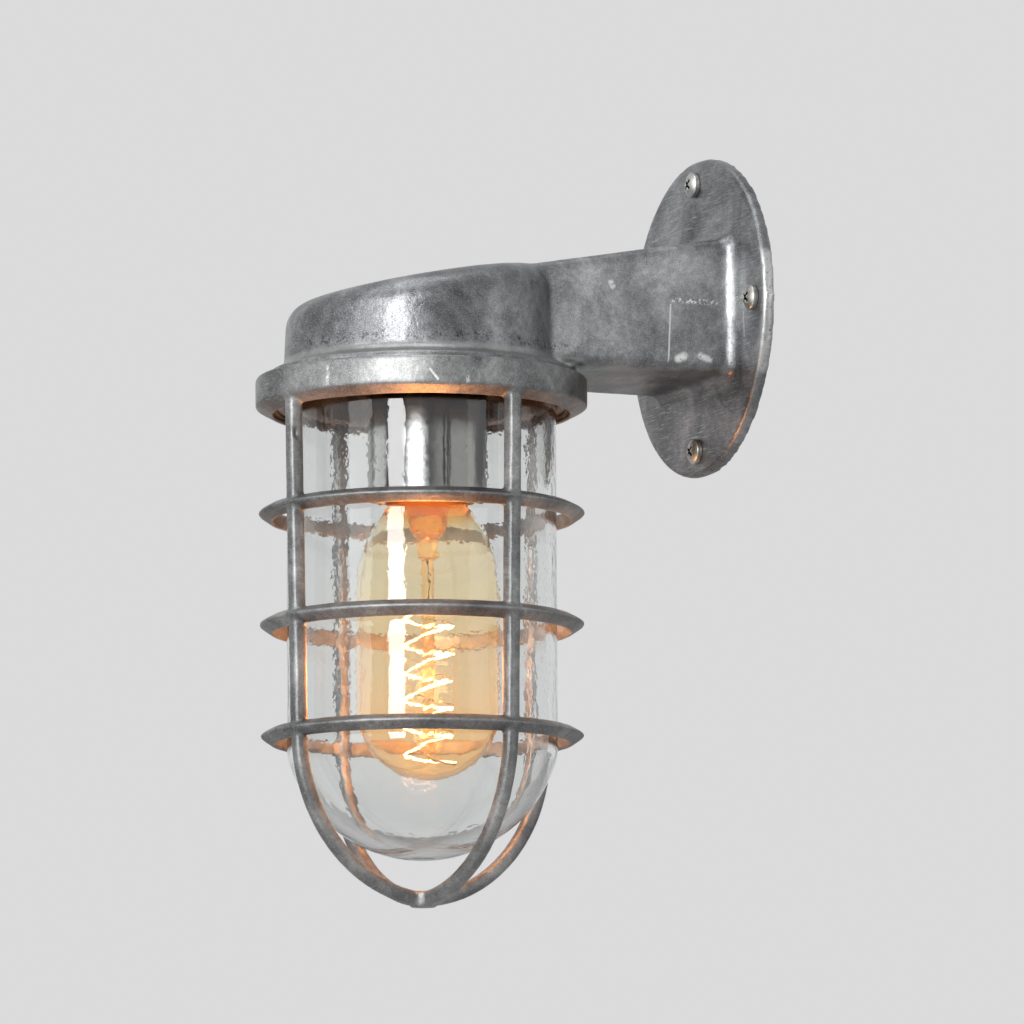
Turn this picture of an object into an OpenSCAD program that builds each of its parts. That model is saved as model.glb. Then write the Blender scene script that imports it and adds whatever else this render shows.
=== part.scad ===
// Cage wall light in raw cast aluminium: a round wall plate, a hollow arm and a sloping hood in one
// casting, a clear glass jar screwed into the hood, a tubular filament lamp, and a barred guard.
// The origin is the centre of the wall plate's back face. The wall is the plane y = 0, the light
// stands out along -Y, and +Z is up. All sizes are in millimetres.

/* [Wall plate] */
// Diameter of the round plate
plate_d = 102; // [94:1:130]
// Thickness of the plate
plate_t = 4.1; // [3:0.1:7]
// Radius on the plate's front edge
plate_edge_r = 1; // [0.4:0.1:1.4]
// Distance of the wall screws from the plate's edge
screw_in = 8; // [7:0.5:12]
// Diameter over a wall screw's thread
screw_d = 4; // [3:0.1:5]
// Depth of that thread, so that the neck in the plate is thinner
screw_thread_h = 0.3; // [0.2:0.05:0.5]
// Length of a wall screw under its head
screw_l = 6.5; // [6:0.5:60]
// Diameter of a wall screw's pan head
screw_head_d = 8; // [7:0.1:9.4]
// Height of a wall screw's pan head
screw_head_h = 3.1; // [2.6:0.1:3.6]
// Height of the upright wall of that head
screw_head_wall = 1.5; // [0.6:0.1:2]

/* [Arm] */
// Width of the arm
arm_w = 57; // [48:1:62]
// Clear height between the arm's underside and the guard's flange
arm_clear = 3.5; // [2:0.1:6]
// Arm's top at the plate, above the plate's centre
arm_rise = 22; // [20:0.1:26]
// Fall of the arm's top from the wall towards the hood, in degrees
arm_slope = 10.5; // [8:0.1:12]
// Wall of the hollow arm
arm_wall = 4; // [3:0.1:6]
// Radius along the arm's long edges
arm_edge_r = 3; // [1:0.1:4]
// Flare where the arm runs into the plate
arm_flare = 3.1; // [1:0.1:5]

/* [Hood] */
// Distance from the wall to the lamp's axis
reach = 99; // [92:1:130]
// How far the hood's outside lies outside the jar's
hood_over = 0.9; // [0:0.1:6]
// Wall of the hood
hood_wall = 3.6; // [3:0.1:5]
// Radius round the hood's top edge
hood_edge_r = 9; // [6:0.5:12]
// Height of the sloping top at the lamp's axis, above the plate's centre
hood_rise = 5.2; // [3:0.1:8]
// Fall of the hood's top away from the wall, in degrees
hood_slope = 10.6; // [6:0.1:12]
// Wall of the threaded skirt that the guard screws onto
skirt_wall = 5.45; // [4:0.05:6.5]
// Depth of the skirt's top edge, below the plate's centre
skirt_drop = 23.1; // [22:0.1:24]
// Height of the cove between the hood's wall and the skirt
cove_h = 3.4; // [1.5:0.1:4]

/* [Glass jar] */
// Outer diameter of the jar
jar_d = 84.4; // [76:0.2:86]
// Wall of the jar
jar_wall = 3; // [2:0.1:4]
// Length of the jar from its rim to its lowest point
jar_l = 151; // [146:0.5:156]
// How much the radius of the jar's domed bottom exceeds the jar's own
jar_dome_over = 1.3; // [0.5:0.1:16]
// Radius where the jar's wall turns into its bottom
jar_turn_r = 9; // [8:1:20]
// Depth of the ledge that the jar closes against, below the plate's centre
jar_seat_drop = 23; // [21:0.1:24]
// Gap between the jar's neck and the skirt
jar_gap = 0.45; // [0.2:0.05:0.8]
// Thickness of the rubber ring above the jar's rim
jar_seal_t = 2.4; // [1.5:0.1:4]

/* [Guard] */
// Wall of the guard's flange outside the skirt
flange_wall = 3.6; // [3:0.1:8]
// Depth of the flange's top, below the plate's centre
flange_drop = 25.2; // [24:0.1:28]
// Height of the flange's upright wall
flange_h = 8.9; // [7:0.1:12]
// Fall of the flange's sloping underside
lip_fall = 2.9; // [1.5:0.1:4]
// Width of the flange's lip under the skirt
lip_w = 1.9; // [1:0.1:4]
// Height of the lip's inner face
lip_face = 1.7; // [1:0.1:2]
// Gap between the flange and the skirt
flange_gap = 0.3; // [0.2:0.05:0.6]
// Thickness of the flat seal between the skirt and the flange's lip
guard_seal_t = 0.8; // [0.5:0.1:2]
// Clear width between the jar and the top ring
ring_clear = 4.2; // [2.5:0.1:8]
// Width of a ring, from its inner face to its sharp edge
ring_t = 4.7; // [4:0.1:8]
// Depth of a bar, from its outer face to its inner face
bar_t = 4.8; // [4:0.1:7]
// How far a bar's outer face lies inside the rings' sharp edges
bar_inset = 0.7; // [0.3:0.1:1]
// Loss of radius from one ring to the next
ring_draft = 0.3; // [0:0.05:0.6]
// Loss of the bars' radius from one ring to the next
bar_draft = 0.7; // [0.3:0.05:0.9]
// Depth of the top ring's sharp edge, below the plate's centre
ring_drop = 67.6; // [62:0.1:70]
// Spacing of the rings
ring_pitch = 35; // [30:0.5:36]
// Height of a ring above its sharp edge, at its inner face
ring_up = 2.3; // [1.5:0.1:4]
// Height of a ring below its sharp edge, at its inner face
ring_down = 2.9; // [1.5:0.1:4]
// Width of a bar
bar_w = 4.6; // [4:0.1:8]
// Radius on a bar's edges
bar_edge_r = 1.4; // [0.5:0.1:2]
// How far the centres of the bars' curved lower ends lie past the lamp's axis
bar_sweep_over = 3; // [0:0.1:8]
// Turn of the four bars from the plate's own axes, in degrees
bar_turn = 13; // [0:1:45]
// Width of the casting's shallow pit in one bar's side near the flange
pit_d = 1.8; // [1:0.1:2.4]
// Length of that pit along the bar
pit_l = 3.5; // [2.4:0.1:6]
// How deep that pit goes into the bar
pit_deep = 0.9; // [0.4:0.1:1.6]
// Depth of that pit's middle, below the plate's centre
pit_drop = 46.3; // [43:0.1:56]
// Gap between the jar's lowest point and the guard's bars
guard_room = 9.8; // [8:0.1:20]

/* [Lampholder] */
// How far the lampholder hangs off the hood's axis, towards the wall
holder_shift = 2; // [0:0.1:3]
// Outer diameter of the bright metal sleeve
sleeve_d = 37.6; // [36:0.2:44]
// Sheet thickness of the sleeve
sleeve_t = 0.8; // [0.5:0.1:1.2]
// Depth of the sleeve's lower edge, below the plate's centre
sleeve_drop = 63.2; // [60:0.2:66]
// Gap between the strap's lower nut and the sleeve's closed top
sleeve_top_gap = 1.3; // [0.5:0.1:2]
// Inner radius of the lampholder's threaded shell
shell_r = 13.4; // [13.35:0.05:13.6]
// Sheet thickness of the threaded shell
shell_t = 0.45; // [0.3:0.05:0.6]
// Outer radius of the hollow threaded stem
stem_r = 5; // [4:0.1:6]
// Bore radius of the threaded stem
stem_bore_r = 3.4; // [2.5:0.1:3.5]
// Thickness of the strap that carries the lampholder
strap_t = 1.6; // [1:0.1:3]
// Depth of the strap's top face, below the plate's centre
strap_drop = 11.5; // [11:0.1:12]
// Distance of the strap's two screws from its ends
strap_screw_in = 7; // [5:0.5:9]

/* [Lamp] */
// Diameter of the tubular glass
lamp_d = 45; // [40:0.5:50]
// Room between the lamp's lowest point and the jar's inner face
lamp_room = 22.2; // [20:0.2:34]
// Wall of the lamp's glass
lamp_wall = 0.8; // [0.6:0.1:1.2]
// Height of the glass's rounded shoulder below the cap
shoulder_h = 30; // [20:0.5:34]
// Height of the inner glass mount below the cap, without its rod
mount_h = 17.4; // [14:0.2:24]
// Clearance between the lamp's screw cap and the holder's threaded shell
cap_gap = 0.2; // [0.1:0.05:0.4]
// Depth of the lamp's foot contact, below the plate's centre
foot_drop = 38.6; // [38:0.1:40]
// Turns of the filament's spiral
fil_turns = 6; // [4:1:9]
// Rise of the spiral in one turn
fil_pitch = 8.5; // [7:0.1:10]
// Distance of the spiral's corners from the lamp's axis
fil_r = 8.2; // [6:0.2:11]
// Diameter of the filament wire
filament_d = 0.8; // [0.6:0.1:1.2]

/* [Wiring] */
// Diameter of an insulated wire
wire_d = 2.2; // [1.6:0.1:2.4]

/* [Hidden] */
$fn = 64;
cut = 1;            // how far a cutting shape runs past what it cuts
snug = 0.15;        // clearance where one fixed piece sits in another

// Levels down the lamp's axis
flange_top_z = -flange_drop;
arm_drop = flange_drop - arm_clear;
flange_low_z = flange_top_z - flange_h;
lip_z = flange_low_z - lip_fall;
ledge_z = lip_z + lip_face;
skirt_top_z = -skirt_drop;
skirt_z = ledge_z + guard_seal_t;
jar_seat_z = -jar_seat_drop;
jar_top_z = jar_seat_z - jar_seal_t;
jar_bottom_z = jar_top_z - jar_l;
foot_z = -foot_drop;
lamp_low_z = jar_bottom_z + jar_wall + lamp_room;
cap_top_z = foot_z - 3.6;
cap_low_z = foot_z - 26;
strap_z = -strap_drop;
nut_h = 2.6;
sleeve_top = strap_drop + strap_t + nut_h + sleeve_top_gap;
body_top_z = -sleeve_top - sleeve_t;
shell_top_z = foot_z + 5;
shell_low_z = shell_top_z - 28;

// Radii about the lamp's axis
jar_r = jar_d / 2;
jar_dome_r = jar_r + jar_dome_over;
hood_r = jar_r + hood_over;
rim_r = hood_r - hood_edge_r;
neck_r = jar_r + jar_gap;
ledge_r = jar_r - jar_wall;
skirt_r = neck_r + skirt_wall;
thread_r = skirt_r + flange_gap;
flange_r = thread_r + flange_wall;
lip_r = thread_r - lip_w;
guard_r = jar_r + ring_clear + ring_t;
bar_r = guard_r - bar_inset;
cap_r = shell_r - cap_gap;
screw_circle_r = plate_d / 2 - screw_in;
strap_half = ledge_r - 2.2;
strap_screw_x = strap_half - strap_screw_in;

// The bars' curved lower ends are arcs from below the third ring, centred past the lamp's axis
bar_sweep_r = bar_r - 2 * bar_draft + bar_sweep_over;
dome_z = jar_bottom_z - guard_room + sqrt(pow(bar_sweep_r - bar_t, 2) - pow(bar_sweep_over, 2));
guard_low_z = dome_z - sqrt(pow(bar_sweep_r, 2) - pow(bar_sweep_over, 2));
bar_lean = atan(bar_draft / ring_pitch);

// The arm
arm_end_y = -reach + 18;
arm_cut_y = -reach + 30;
function arm_top(y) = arm_rise + (y + plate_t) * tan(arm_slope);
duct_w = arm_w - 2 * arm_wall;
duct_z = -arm_drop + arm_wall;

// What is screwed down on the duct's floor
block_size = [27, 16, 12];
way_pitch = 8.4;
m3_r = 1.5;
m4_r = 2;
earth_x = 14;
earth_y = 1.8 + ledge_r - reach;
block_y = earth_y + 28;
earth_boss_h = 3;
lug_t = 0.8;

module at_lamp() {
    translate([0, -reach, 0]) children();
}

module at_holder() {
    translate([0, holder_shift - reach, 0]) children();
}

// A ring about the axis, from its inner and outer radius and its two levels
module ring(inner, outer, low, high) {
    difference() {
        translate([0, 0, low]) cylinder(r = outer, h = high - low);
        translate([0, 0, low - cut]) cylinder(r = inner, h = high - low + 2 * cut);
    }
}

// A pan-headed screw that points down from z = 0, with its head above
module pan_screw(r, length, head_r, head_h) {
    translate([0, 0, -length]) cylinder(r = r, h = length);
    difference() {
        cylinder(r = head_r, h = head_h);
        translate([0, 0, head_h - 0.8]) cube([head_r * 1.6, 0.9, 2], center = true);
    }
}

// A flat rectangle with round corners, for the section of a bar
module rounded_section(x, y, r) {
    square([x - 2 * r, y], center = true);
    square([x, y - 2 * r], center = true);
    for (sx = [-1, 1], sy = [-1, 1])
        translate([sx * (x / 2 - r), sy * (y / 2 - r)]) circle(r = r, $fn = 24);
}

// A tube swept along points, with a ring of the given number of sides square to the path
function unit(v) = v / norm(v);
function heading(p, i) =
    unit(p[min(i + 1, len(p) - 1)] - p[max(i - 1, 0)]);
function side_of(t) = unit(cross(t, abs(t[2]) < 0.9 ? [0, 0, 1] : [1, 0, 0]));
function carried(p, i) =
    i == 0 ? side_of(heading(p, 0))
           : let (s = carried(p, i - 1), t = heading(p, i)) unit(s - t * (s * t));
module swept_tube(p, d, sides) {
    rings = [for (i = [0:len(p) - 1])
        let (t = heading(p, i), u = carried(p, i), v = cross(t, u))
        [for (k = [0:sides - 1]) p[i] + d / 2 * (cos(360 * k / sides) * u + sin(360 * k / sides) * v)]];
    points = [for (one = rings) each one];
    last = len(points) - sides;
    faces = concat(
        [[for (k = [0:sides - 1]) k]],
        [[for (k = [sides - 1:-1:0]) last + k]],
        [for (i = [0:len(p) - 2], k = [0:sides - 1]) let (a = i * sides, b = (k + 1) % sides)
            [a + k, a + sides + k, a + b]],
        [for (i = [0:len(p) - 2], k = [0:sides - 1]) let (a = i * sides, b = (k + 1) % sides)
            [a + b, a + sides + k, a + sides + b]]);
    polyhedron(points, faces);
}

// Points of a smooth curve through four control points, in the given number of steps
function bezier(a, b, c, d, n) = [for (i = [0:n]) let (t = i / n, s = 1 - t)
    s * s * s * a + 3 * s * s * t * b + 3 * s * t * t * c + t * t * t * d];

// ---- housing: plate, arm, hood and skirt in one casting ----

module plate() {
    flat_r = plate_d / 2 - plate_edge_r;
    rotate([90, 0, 0]) rotate_extrude($fn = 128) {
        square([flat_r, plate_t]);
        square([plate_d / 2, plate_t - plate_edge_r]);
        translate([flat_r, plate_t - plate_edge_r]) circle(r = plate_edge_r, $fn = 24);
    }
}

// A thin slice across the arm at y, with round corners, grown by the given spread
module arm_slice(y, spread) {
    r = arm_edge_r + spread;
    for (sx = [-1, 1], z = [arm_top(y) - arm_edge_r, arm_edge_r - arm_drop])
        translate([sx * (arm_w / 2 - arm_edge_r), y, z]) rotate([90, 0, 0])
            cylinder(r = r, h = 0.2, $fn = 24);
}

module arm() {
    root_y = 1 - plate_t;
    hull() {
        arm_slice(root_y, 0);
        arm_slice(arm_end_y, 0);
    }
    hull() {
        arm_slice(root_y, arm_flare);
        arm_slice(root_y - arm_flare * 1.5, -0.6);
    }
}

// The hood's solid: an upright drum whose rounded top leans down away from the wall
module hood_solid(tube_r, drum_r, low_z) {
    hull() {
        translate([0, 0, low_z]) cylinder(r = drum_r, h = 1, $fn = 96);
        translate([0, 0, hood_rise - hood_edge_r]) rotate([hood_slope, 0, 0])
            rotate_extrude($fn = 96) translate([rim_r, 0]) circle(r = tube_r, $fn = 20);
    }
}

// The skirt, with a hollow cove that runs up into the hood's wall
module skirt() {
    cove_w = skirt_r - hood_r + 0.2;
    cove = [for (t = [0:15:90])
        [skirt_r - cove_w * sin(t), skirt_top_z + cove_h * (1 - cos(t))]];
    rotate_extrude($fn = 128) polygon(concat(
        [[ledge_r - 2, skirt_z], [skirt_r, skirt_z]], cove, [[ledge_r - 2, skirt_top_z + cove_h]]));
}

module duct() {
    start_y = cut;
    translate([-duct_w / 2, 0, 0]) rotate([90, 0, 90]) linear_extrude(duct_w) polygon([
        [start_y, duct_z], [start_y, arm_top(start_y) - arm_wall],
        [arm_cut_y, arm_top(arm_cut_y) - arm_wall], [arm_cut_y, duct_z]]);
}

module housing() color("#8b8f93") {
    boss_r = 5;
    difference() {
        union() {
            plate();
            arm();
            at_lamp() {
                hood_solid(hood_edge_r, hood_r, skirt_top_z);
                skirt();
            }
        }
        difference() {
            at_lamp() hood_solid(hood_edge_r - hood_wall, ledge_r, jar_seat_z - 0.5);
            at_lamp() for (sx = [-1, 1])
                translate([sx * strap_screw_x, 0, strap_z]) cylinder(r = boss_r, h = 20);
        }
        difference() {
            duct();
            translate([earth_x, earth_y, duct_z - cut]) cylinder(r = boss_r, h = earth_boss_h + cut);
        }
        at_lamp() {
            translate([0, 0, skirt_z - cut])
                cylinder(r = neck_r, h = jar_seat_z - skirt_z + cut, $fn = 128);
            for (sx = [-1, 1]) translate([sx * strap_screw_x, 0, strap_z - cut])
                cylinder(r = m4_r + snug, h = 8 + cut);
        }
        translate([earth_x, earth_y, duct_z - 2]) cylinder(r = m4_r + snug, h = 2 + earth_boss_h + cut);
        translate([0, block_y, duct_z - 2.5]) cylinder(r = m3_r + snug, h = 2.5 + cut);
        wall_places() translate([0, 0, -cut]) cylinder(r = screw_d / 2 + 0.25, h = plate_t + 2 * cut);
    }
}

// The four wall screws' places: z = 0 is the wall, and +z points into the room
module wall_places() {
    for (a = [0:90:270]) rotate([90, 0, 0]) rotate(a) translate([screw_circle_r, 0, 0]) children();
}

module wall_screws() color("#c9c9c4") {
    crown_h = screw_head_h - screw_head_wall;
    crown_ball_r = (pow(screw_head_d / 2, 2) + pow(crown_h, 2)) / (2 * crown_h);
    wall_places() {
        translate([0, 0, plate_t - screw_l]) cylinder(r = screw_d / 2, h = screw_l - plate_t);
        cylinder(r = screw_d / 2 - screw_thread_h, h = plate_t);
        translate([0, 0, plate_t]) difference() {
            intersection() {
                translate([0, 0, screw_head_h - crown_ball_r]) sphere(r = crown_ball_r);
                cylinder(r = screw_head_d / 2, h = screw_head_h);
            }
            for (a = [45, 135]) rotate(a) translate([0, 0, screw_head_h])
                cube([screw_head_d * 0.5, 0.9, 2.4], center = true);
        }
    }
}

// ---- wiring inside the arm ----

module terminal_ways() {
    for (i = [-1:1]) translate([i * way_pitch, block_y, 0]) children();
}

module terminal_block() color("#e8e4d8") difference() {
    translate([-block_size[0] / 2, block_y - block_size[1] / 2, duct_z]) cube(block_size);
    terminal_ways() {
        translate([0, -10, duct_z + 5.5]) rotate([-90, 0, 0]) cylinder(r = 2.3, h = 20);
        for (sy = [-1, 1]) translate([0, sy * 4.4, duct_z + 7]) cylinder(r = 1.7, h = 6);
    }
    for (sx = [-1, 1]) translate([sx * way_pitch / 2, block_y, duct_z + 9]) cube([1, 18, 8], center = true);
    translate([0, block_y, duct_z - cut]) cylinder(r = m3_r + snug, h = 3.2 + cut);
}

module terminal_sleeves() color("#b9933f") terminal_ways() difference() {
    translate([0, -6, duct_z + 5.5]) rotate([-90, 0, 0]) cylinder(r = 2.3 - snug, h = 12);
    translate([0, -7, duct_z + 5.5]) rotate([-90, 0, 0]) cylinder(r = 1.35, h = 14);
    for (sy = [-1, 1]) translate([0, sy * 4.4, duct_z + 5.5]) cylinder(r = 1.25, h = 6);
    translate([0, 0, duct_z - cut]) cylinder(r = m3_r + snug, h = 5.5);
}

module terminal_screws() color("#a8a8a0") terminal_ways()
    for (sy = [-1, 1]) translate([0, sy * 4.4, duct_z + 10]) {
        translate([0, 0, -3.2]) cylinder(r = 1.1, h = 2.4);
        difference() {
            translate([0, 0, -1]) cylinder(r = 1.5, h = 1.8);
            translate([0, 0, 0.6]) cube([3.2, 0.5, 1], center = true);
        }
    }

module terminal_fixing_screw() color("#a8a8a0")
    translate([0, block_y, duct_z - 2.2]) cylinder(r = m3_r, h = 4.4);

module earth_screw() color("#c2a14d")
    translate([earth_x, earth_y, duct_z + earth_boss_h + lug_t + 0.02]) pan_screw(m4_r, 5.2, 3.8, 2.6);

module earth_lug() color("#c9c9c4") difference() {
    union() {
        translate([earth_x, earth_y, duct_z + earth_boss_h]) cylinder(r = 4.4, h = lug_t);
        translate([earth_x - 2, earth_y, duct_z + earth_boss_h]) cube([4, 9.6, lug_t]);
        translate([earth_x, earth_y + 6, duct_z + earth_boss_h + lug_t + 0.6])
            rotate([-90, 0, 0]) cylinder(r = 1.7, h = 5);
    }
    translate([earth_x, earth_y, duct_z]) cylinder(r = m4_r + snug, h = 8);
    translate([earth_x, earth_y + 7, duct_z + earth_boss_h + lug_t + 0.6])
        rotate([-90, 0, 0]) cylinder(r = wire_d / 2 + snug / 2, h = 5);
}

// Where a wire leaves the terminal block, on the side of the hood
function way_exit(i) = [i * way_pitch, block_y - block_size[1] / 2 - 0.4, duct_z + 5.5];

module earth_wire() color("#6d8f3a") {
    start = way_exit(1);
    end = [earth_x, earth_y + 8, duct_z + earth_boss_h + lug_t + 0.6];
    mouth = end + [0, 4, 0];
    swept_tube(concat(bezier(start, start + [0, -3.5, 0], mouth + [0, 3.5, 0], mouth, 10), [end]),
        wire_d, 8);
}

// A wire from its way of the block, up the duct, over the strap and down the threaded stem
module lamp_wire(way, side) {
    start = way_exit(way);
    mid = [side * 5, 27 - reach, -4];
    holder_y = holder_shift - reach;
    top = [side * 1.5, holder_y + 9, -1.9];
    down = [side * 1.5, holder_y, -10];
    end = [side * 1.5, holder_y, -20];
    run = concat(
        bezier(start, start + [0, -14, 0], mid + [0, 14, 0], mid, 10),
        [for (q = bezier(mid, mid + [0, -8, 0.4], top + [0, 3, 0], top, 5)) if (q[1] < mid[1]) q],
        [for (q = bezier(top, top + [0, -6.5, 0], down + [0, 0, 6.5], down, 7)) if (q[1] < top[1]) q],
        [end]);
    swept_tube(run, wire_d, 8);
}

module live_wire() color("#7a4a2a") lamp_wire(0, 1);
module neutral_wire() color("#3a5f8f") lamp_wire(-1, -1);

// ---- lampholder ----

module holder_strap() color("#b4b6b8") at_lamp() difference() {
    translate([-strap_half, -8, strap_z - strap_t]) cube([2 * strap_half, 16, strap_t]);
    translate([0, 0, strap_z - strap_t - cut]) {
        translate([0, holder_shift, 0]) cylinder(r = stem_r + snug, h = strap_t + 2 * cut);
        for (sx = [-1, 1]) translate([sx * strap_screw_x, 0, 0])
            cylinder(r = m4_r + snug, h = strap_t + 2 * cut);
    }
}

module strap_screws() color("#c9c9c4") at_lamp()
    for (sx = [-1, 1]) translate([sx * strap_screw_x, 0, strap_z - strap_t])
        rotate([180, 0, 0]) pan_screw(m4_r, 7, 3.8, 2.4);

module holder_stem() color("#b9933f") at_holder()
    ring(stem_bore_r, stem_r, body_top_z - 4, strap_z + 3.6);

module stem_nut() color("#b4b6b8") at_holder() for (z = [strap_z, strap_z - strap_t - nut_h])
    difference() {
        translate([0, 0, z]) cylinder(r = stem_r + 3, h = nut_h, $fn = 6);
        translate([0, 0, z - cut]) cylinder(r = stem_r + snug, h = nut_h + 2 * cut);
    }

module holder_sleeve() color("#d6d8da") at_holder() {
    sleeve_r = sleeve_d / 2;
    difference() {
        translate([0, 0, -sleeve_drop]) cylinder(r = sleeve_r, h = sleeve_drop - sleeve_top, $fn = 128);
        translate([0, 0, -sleeve_drop - cut])
            cylinder(r = sleeve_r - sleeve_t, h = sleeve_drop + cut + body_top_z, $fn = 128);
        translate([0, 0, body_top_z - cut]) cylinder(r = stem_r + snug, h = sleeve_t + 2 * cut);
    }
}

module holder_body() color("#efece2") at_holder() {
    body_r = sleeve_d / 2 - sleeve_t - snug;
    difference() {
        translate([0, 0, shell_low_z - 0.6]) cylinder(r = body_r, h = body_top_z - shell_low_z + 0.6);
        translate([0, 0, shell_low_z - 0.6 - cut])
            cylinder(r = shell_r + shell_t + snug, h = shell_top_z - shell_low_z + 0.6 + cut);
        translate([0, 0, shell_top_z - cut]) cylinder(r = 6.5, h = 4 + cut);
        translate([0, 0, body_top_z - 5]) cylinder(r = stem_r + snug, h = 5 + cut);
        translate([0, 0, shell_top_z]) cylinder(r = 2.6, h = body_top_z - shell_top_z);
    }
}

module screw_shell() color("#b9a06a") at_holder()
    ring(shell_r, shell_r + shell_t, shell_low_z, shell_top_z);

// The sprung tongue that presses on the lamp's foot
module centre_contact() color("#b9933f") at_holder() {
    tongue_t = 0.5;
    translate([-2.2, -5.5, shell_top_z + 4 - tongue_t]) cube([4.4, 9, tongue_t]);
    translate([-2.2, -5.5, foot_z + 0.05]) cube([4.4, tongue_t, shell_top_z + 4 - foot_z - 0.05]);
    translate([-2.2, -5.5, foot_z + 0.05]) cube([4.4, 8, tongue_t]);
}

// ---- glass jar and seals ----

module jar_gasket() color("#2b2b2b") at_lamp()
    ring(ledge_r + 0.2, jar_r, jar_top_z, jar_top_z + jar_seal_t - 0.02);

// Half of a domed jar's outline: upright wall, a small turning radius, then the shallow dome
module jar_half(r, dome, turn, low_z, top_z) {
    dome_centre_z = low_z + dome;
    turn_x = r - turn;
    turn_z = dome_centre_z - sqrt(pow(dome - turn, 2) - pow(turn_x, 2));
    aim = atan2(dome_centre_z - turn_z, turn_x);
    wall = [[0, top_z], [r, top_z]];
    corner = [for (a = [0:aim / 10:aim + 0.01]) [turn_x + turn * cos(a), turn_z - turn * sin(a)]];
    bottom = [for (a = [aim:(90 - aim) / 16:90.01])
        [max(0, dome * cos(a)), dome_centre_z - dome * sin(a)]];
    polygon(concat(wall, corner, [for (i = [1:16]) bottom[i]]));
}

module glass_jar() color("#dfe6e4", 0.35) at_lamp() rotate_extrude($fn = 96) difference() {
    jar_half(jar_r, jar_dome_r, jar_turn_r, jar_bottom_z, jar_top_z);
    jar_half(jar_r - jar_wall, jar_dome_r - jar_wall, jar_turn_r - jar_wall,
        jar_bottom_z + jar_wall, jar_top_z + cut);
}

module guard_gasket() color("#2b2b2b") at_lamp()
    ring(lip_r - 1.5, skirt_r, ledge_z + 0.02, skirt_z - 0.02);

// ---- guard ----

module guard_ring(i) {
    tip_r = guard_r - i * ring_draft;
    inner_r = tip_r - ring_t;
    z = -ring_drop - i * ring_pitch;
    rotate_extrude($fn = 128) polygon([
        [inner_r, z + ring_up], [inner_r + 0.8, z + ring_up],
        [tip_r, z + 0.25], [tip_r, z - 0.25],
        [inner_r + 0.8, z - ring_down], [inner_r, z - ring_down]]);
}

// A bar: a straight stretch that leans in with the draft, then a hair thinner arc, which starts
// inside the straight stretch and ends in the hub
module guard_bar() {
    step = 0.15;
    start = -1.6;
    start_z = flange_low_z + 2;
    top_r = bar_r + (start_z + ring_drop) * bar_draft / ring_pitch - bar_t / 2;
    length = start_z - dome_z;
    arc = acos((bar_sweep_over + bar_w / 2 + 0.6) / bar_sweep_r);
    translate([top_r, 0, start_z]) rotate([0, bar_lean, 0]) translate([0, 0, -length])
        linear_extrude(length) rounded_section(bar_t, bar_w, bar_edge_r);
    translate([-bar_sweep_over, 0, dome_z]) rotate([-90, 0, 0]) rotate(start)
        rotate_extrude(angle = arc - start, $fn = 128) translate([bar_sweep_r - bar_t / 2, 0])
            rounded_section(bar_t - 2 * step, bar_w - 2 * step, bar_edge_r);
}

module guard_flange() {
    rotate_extrude($fn = 128) polygon([
        [lip_r, flange_top_z], [flange_r - 0.5, flange_top_z], [flange_r, flange_top_z - 0.5],
        [flange_r, flange_low_z], [lip_r, lip_z]]);
}

module guard_cage() color("#7f8386") at_lamp() rotate(bar_turn) difference() {
    hub_r = bar_w * 0.9;
    union() {
        guard_flange();
        for (i = [0:2]) guard_ring(i);
        for (a = [0:90:270]) rotate(a) guard_bar();
        translate([0, 0, guard_low_z]) cylinder(r = hub_r, h = bar_t + 0.1);
    }
    translate([0, 0, ledge_z]) cylinder(r = thread_r, h = flange_top_z - lip_z, $fn = 128);
    rotate(-90) translate([bar_r - bar_edge_r, bar_w / 2 + cut, -pit_drop]) rotate([90, 0, 0])
        linear_extrude(cut + pit_deep) {
            square([pit_d, pit_l - pit_d], center = true);
            for (sz = [-1, 1]) translate([0, sz * (pit_l - pit_d) / 2]) circle(d = pit_d, $fn = 24);
        }
}

// ---- lamp ----

lamp_r = lamp_d / 2;
neck_out_r = cap_r - 0.9;

// Half of the lamp glass: neck in the cap, a shoulder that flares at once and rounds into the tube,
// and a round end
module lamp_half(inset) {
    r = lamp_r - inset;
    neck = neck_out_r - inset;
    top = cap_low_z + 3;
    low = lamp_low_z + inset;
    swell = [for (i = [0:14]) let (t = i / 14)
        [neck + (r - neck) * (1 - pow(1 - t, 2.6)), cap_low_z - 1 - shoulder_h * t]];
    end = [for (a = [0:7.5:90]) [r * cos(a), low + r - r * sin(a)]];
    polygon(concat([[0, top + inset * 2], [neck, top + inset * 2]], swell, end));
}

module lamp_glass() color("#e2b45c", 0.4) at_holder() rotate_extrude($fn = 96) difference() {
    lamp_half(0);
    lamp_half(lamp_wall);
}

module lamp_cap() color("#c3b78d") at_holder() {
    ring(cap_r - 0.5, cap_r, cap_low_z, cap_top_z);
    ring(11.2, cap_r, cap_top_z, cap_top_z + 0.5);
}

module cap_insulator() color("#1f1f22") at_holder() difference() {
    translate([0, 0, cap_top_z + 0.5]) cylinder(r1 = 11.6, r2 = 5.2, h = foot_z - 1.2 - cap_top_z - 0.5);
    translate([0, 0, cap_top_z]) cylinder(r = 1.6, h = 6);
}

module foot_contact() color("#b8b8b4") at_holder()
    translate([0, 0, foot_z - 1.2]) cylinder(r1 = 4.9, r2 = 4, h = 1.2);

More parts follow.
